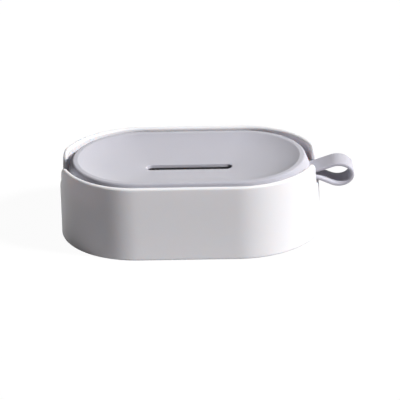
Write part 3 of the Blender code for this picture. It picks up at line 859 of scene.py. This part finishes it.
def moulded_grain():
    """The shared surface of moulded plastic and rubber.

    Colour drifts a little over the piece, roughness follows the drift and the grain, and the grain
    gives the bump.
    """
    group = bpy.data.node_groups.get("moulded_grain")
    if group:
        return group
    group = bpy.data.node_groups.new("moulded_grain", "ShaderNodeTree")
    sockets = group.interface
    defaults = {
        "Drift": 0.03, "Drift Scale": 18.0, "Roughness": 0.4, "Roughness Spread": 0.06,
        "Grain Scale": 1400.0, "Grain Depth": 0.02 * MM,
    }
    for name, default in defaults.items():
        socket = sockets.new_socket(name, in_out="INPUT", socket_type="NodeSocketFloat")
        socket.default_value = default
    sockets.new_socket("Color", in_out="INPUT", socket_type="NodeSocketColor")
    for name, kind in (("Color", "Color"), ("Roughness", "Float"), ("Normal", "Vector")):
        sockets.new_socket(name, in_out="OUTPUT", socket_type="NodeSocket" + kind)
    tree = Tree(group)
    given = tree.add("NodeGroupInput").outputs
    place = tree.add("ShaderNodeTexCoord").outputs["Object"]

    def noise(scale, detail):
        inputs = {"Vector": place, "Scale": given[scale], "Detail": detail}
        return tree.add("ShaderNodeTexNoise", inputs).outputs["Fac"]

    wide, grain = noise("Drift Scale", 3.0), noise("Grain Scale", 2.0)
    drift = tree.maths("SUBTRACT", wide, 0.5)
    gain = tree.maths("MULTIPLY_ADD", drift, given["Drift"], 1.0)
    tone = tree.add("ShaderNodeVectorMath", {0: given["Color"], "Scale": gain}, operation="SCALE")
    spread = tree.maths("ADD", tree.maths("SUBTRACT", grain, 0.5), drift)
    rough = tree.maths("MULTIPLY_ADD", spread, given["Roughness Spread"], given["Roughness"])
    bump = tree.add("ShaderNodeBump", {"Height": grain, "Distance": given["Grain Depth"]})
    results = {"Color": tone.outputs[0], "Roughness": rough, "Normal": bump.outputs[0]}
    tree.add("NodeGroupOutput", results)
    return group


def moulded(name, tint, glow, gloss=0.5, **values):
    """A material whose colour, roughness and normal come from the shared grain.

    glow is how far red light spreads inside the plastic, and GLOW_SPREAD what share of that each
    of red, green and blue goes. The other values are the grain's, by its sockets' names.
    """
    material = bpy.data.materials.new(name)
    material.use_nodes = True
    inputs = {key.replace("_", " ").title(): value for key, value in values.items()}
    inputs["Color"] = (*tint, 1.0)
    grain = Tree(material.node_tree).add("ShaderNodeGroup", inputs, node_tree=moulded_grain())
    sockets = material.node_tree.nodes["Principled BSDF"].inputs
    sockets["Specular IOR Level"].default_value = gloss
    sockets["Subsurface Weight"].default_value = 1.0
    sockets["Subsurface Radius"].default_value = GLOW_SPREAD
    sockets["Subsurface Scale"].default_value = glow
    for output, name in (("Color", "Base Color"), ("Roughness", "Roughness"), ("Normal", "Normal")):
        material.node_tree.links.new(grain.outputs[output], sockets[name])
    return material


class SOAPBOX_OT_case(Operator):
    """Build the white case with its ribs and the hanger's window"""

    bl_idname = "soapbox.case"
    bl_label = "Case"

    def execute(self, context):
        case, tray = context.scene.soap_box_case, context.scene.soap_box_tray
        piece = shown(grid_mesh("case_shell", case_surface(case)))
        combined(piece, "UNION", [grid_mesh("rib", rib) for rib in rib_surfaces(case, tray.bottom)])
        half, back = case.window_length / 2, case.width / 2
        low = (-half, back - 2 * case.wall, case.window_bottom)
        high = (half, back + case.wall, case.window_bottom + case.window_height)
        combined(piece, "DIFFERENCE", [block("window", low, high)])
        finished(
            piece, ["outer_case"], "white_case", case.tint, glow=1.5 * MM, drift=0.012,
            roughness=0.36, roughness_spread=0.05,
        )
        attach(piece, "case")
        return {"FINISHED"}


class SOAPBOX_OT_tray(Operator):
    """Build the grey tray with its slot, the strap's window and the pin's boss"""

    bl_idname = "soapbox.tray"
    bl_label = "Tray"

    def execute(self, context):
        case, tray = context.scene.soap_box_case, context.scene.soap_box_tray
        piece = shown(grid_mesh("tray_shell", tray_surface(case, tray), "joined"))
        combined(piece, "UNION", [grid_mesh("boss", boss_surface(case, tray))])
        half = Vector((tray.window_reach, tray.window_width / 2, tray.window_height / 2))
        combined(piece, "DIFFERENCE", [block("strap_window", HINGE - half, HINGE + half)])
        finished(
            piece, ["soap_tray"], "grey_tray", tray.tint, glow=0.15 * MM, gloss=0.0, drift=0.02,
            roughness=0.52, grain_scale=1800.0, grain_depth=0.03 * MM,
        )
        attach(piece, "tray")
        return {"FINISHED"}


class SOAPBOX_OT_strap(Operator):
    """Build the rubber pull strap and its snap pin"""

    bl_idname = "soapbox.strap"
    bl_label = "Strap and pin"

    def execute(self, context):
        strap = context.scene.soap_box_strap
        piece = shown(grid_mesh("pull_strap", strap_surface(strap), "capped"))
        combined(piece, "DIFFERENCE", [grid_mesh("pin_hole", pin_hole(strap))])
        finished(
            piece, ["strap_loop", "strap_tail"], "grey_rubber", strap.tint, glow=0.2 * MM,
            gloss=0.05, roughness=0.6, roughness_spread=0.08, grain_scale=2200.0,
            grain_depth=0.04 * MM,
        )
        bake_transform(piece)
        pin = shown(grid_mesh("snap_pin", pin_surface(strap)))
        finished(
            pin, ["strap_pin"], "natural_nylon", strap.pin_tint, glow=0.8 * MM, roughness=0.42
        )
        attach(pin, "tray")
        return {"FINISHED"}


class SOAPBOX_OT_hanger(Operator):
    """Build the hook plate and the foam pad that sticks it to the wall"""

    bl_idname = "soapbox.hanger"
    bl_label = "Hanger"

    def execute(self, context):
        hanger = context.scene.soap_box_hanger
        low = (HOOK_LOW.x, HOOK_HIGH.y - hanger.plate, HOOK_LOW.z)
        plate = slab_surface(low, HOOK_HIGH, hanger.corner, hanger.edge_round)
        piece = shown(grid_mesh("hook_plate", plate, "capped"))
        combined(piece, "UNION", [grid_mesh("hook", hook_surface(hanger), "capped")])
        finished(
            piece, ["wall_hook"], "white_hook", hanger.tint, glow=1.0 * MM, drift=0.015,
            roughness=0.42,
        )
        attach(piece, "hanger")
        inset = Vector((hanger.pad_swell, 0, hanger.pad_swell))
        low, high = PAD_LOW + inset, PAD_HIGH - inset
        foam = slab_surface(low, high, hanger.pad_corner, hanger.pad_round, hanger.pad_swell)
        pad = shown(grid_mesh("foam_pad", foam, "capped"))
        finished(
            pad, ["adhesive_pad"], "adhesive_foam", hanger.pad_tint, glow=0.5 * MM, gloss=0.2,
            drift=0.05, roughness=0.8, grain_scale=1100.0, grain_depth=0.12 * MM,
        )
        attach(pad, "hanger")
        return {"FINISHED"}


def by_ray(tree, soft, seen):
    """One shader for rays of soft light, another for camera, glossy and transmission rays."""
    path = tree.add("ShaderNodeLightPath").outputs
    sight = tree.maths("MAXIMUM", path["Is Camera Ray"], path["Is Glossy Ray"])
    sight = tree.maths("MAXIMUM", sight, path["Is Transmission Ray"])
    return tree.add("ShaderNodeMixShader", {0: sight, 1: soft, 2: seen}).outputs[0]


def white_floor(studio):
    """A floor that the camera sees as white but for the object's shadow.

    The light that it sends back to the object is that of a plain grey floor.
    """
    half, low = studio.floor_size / 2, CASE_LOW.z - studio.floor_gap
    corners = [(-half, -half, low), (half, -half, low), (half, half, low), (-half, half, low)]
    mesh = bpy.data.meshes.new("studio_floor")
    mesh.from_pydata(corners, [], [(0, 1, 2, 3)])
    material = bpy.data.materials.new("studio_floor")
    material.use_nodes = True
    material.node_tree.nodes.clear()
    tree = Tree(material.node_tree)
    grey = (*[studio.floor_shade] * 3, 1)
    glow = tree.add("ShaderNodeEmission", {"Strength": studio.floor_glow}).outputs[0]
    shade = tree.add("ShaderNodeBsdfDiffuse", {"Color": grey}).outputs[0]
    seen = tree.add("ShaderNodeAddShader", {0: glow, 1: shade}).outputs[0]
    soft = tree.add("ShaderNodeBsdfDiffuse", {"Color": (*studio.floor_tint, 1)}).outputs[0]
    tree.add("ShaderNodeOutputMaterial", {"Surface": by_ray(tree, soft, seen)})
    mesh.materials.append(material)
    shown(mesh)


def soft_world(scene, studio):
    """A world that is white where it is seen and gives a low tinted light all round."""
    world = bpy.data.worlds.new("studio_world")
    world.use_nodes = True
    world.node_tree.nodes.clear()
    tree = Tree(world.node_tree)
    sky = {"Color": (*studio.sky_tint, 1), "Strength": studio.sky_strength}
    soft = tree.add("ShaderNodeBackground", sky).outputs[0]
    white = tree.add("ShaderNodeBackground", {"Color": (1, 1, 1, 1), "Strength": 1.0}).outputs[0]
    tree.add("ShaderNodeOutputWorld", {"Surface": by_ray(tree, soft, white)})
    scene.world = world


def direction(azimuth, elevation):
    """The unit vector from the object to a place round it."""
    return Vector((sin(azimuth) * cos(elevation), -cos(azimuth) * cos(elevation), sin(elevation)))


def key_lamp(studio):
    """A sun as wide as a soft lamp, from the right and above."""
    lamp = bpy.data.lights.new("key_lamp", "SUN")
    lamp.energy = studio.key_strength
    lamp.angle = studio.key_spread
    key = shown(lamp)
    key.location = direction(studio.key_azimuth, studio.key_elevation)
    key.rotation_euler = key.location.to_track_quat("Z", "Y").to_euler()


def photo_camera(scene, studio):
    """A long lens far off, aimed so that the base's middle lies on its pixel of the photograph."""
    roll, back = studio.roll, direction(studio.azimuth, studio.elevation)
    right = Vector((cos(studio.azimuth), sin(studio.azimuth), 0))
    up = back.cross(right)
    right, up = cos(roll) * right - sin(roll) * up, sin(roll) * right + cos(roll) * up
    middle = PHOTO_WIDTH / 2
    aim = (middle - studio.origin_pixel[0]) * right + (studio.origin_pixel[1] - middle) * up
    camera = bpy.data.cameras.new("camera")
    camera.sensor_width = SENSOR_WIDTH_MM
    camera.lens = studio.scale * studio.distance / PHOTO_WIDTH * SENSOR_WIDTH_MM
    eye = shown(camera)
    turn = Matrix((right, up, back)).transposed().to_4x4()
    eye.matrix_world = Matrix.Translation(aim / studio.scale + studio.distance * back) @ turn
    scene.camera = eye


class SOAPBOX_OT_studio(Operator):
    """Set up the pale floor, the soft light and the camera"""

    bl_idname = "soapbox.studio"
    bl_label = "Studio"

    def execute(self, context):
        scene, studio = context.scene, context.scene.soap_box_studio
        white_floor(studio)
        soft_world(scene, studio)
        key_lamp(studio)
        photo_camera(scene, studio)
        scene.view_settings.view_transform = "Standard"
        return {"FINISHED"}


OPERATORS = (
    SOAPBOX_OT_case,
    SOAPBOX_OT_tray,
    SOAPBOX_OT_strap,
    SOAPBOX_OT_hanger,
    SOAPBOX_OT_studio,
)
SETTINGS = {
    "soap_box_case": SoapBoxCase,
    "soap_box_tray": SoapBoxTray,
    "soap_box_strap": SoapBoxStrap,
    "soap_box_hanger": SoapBoxHanger,
    "soap_box_studio": SoapBoxStudio,
}


class SOAPBOX_PT_panel(Panel):
    """The soap box's pieces and their sizes"""

    bl_idname = "SOAPBOX_PT_panel"
    bl_label = "Soap Box"
    bl_space_type = "VIEW_3D"
    bl_region_type = "UI"
    bl_category = "Soap Box"

    def draw(self, context):
        for operator, name in zip(OPERATORS, SETTINGS):
            box = self.layout.box()
            box.operator(operator.bl_idname)
            settings = getattr(context.scene, name)
            for key in settings.bl_rna.properties.keys():
                if key not in {"rna_type", "name"}:
                    box.prop(settings, key)


CLASSES = (*SETTINGS.values(), *OPERATORS, SOAPBOX_PT_panel)


def register():
    for kind in CLASSES:
        bpy.utils.register_class(kind)
    for name, settings in SETTINGS.items():
        setattr(bpy.types.Scene, name, PointerProperty(type=settings))


def unregister():
    for name in SETTINGS:
        delattr(bpy.types.Scene, name)
    for kind in reversed(CLASSES):
        bpy.utils.unregister_class(kind)


def main():
    """Builds every piece and the studio."""
    register()
    bpy.ops.soapbox.case()
    bpy.ops.soapbox.tray()
    bpy.ops.soapbox.strap()
    bpy.ops.soapbox.hanger()
    bpy.ops.soapbox.studio()


if __name__ == "__main__":
    main()
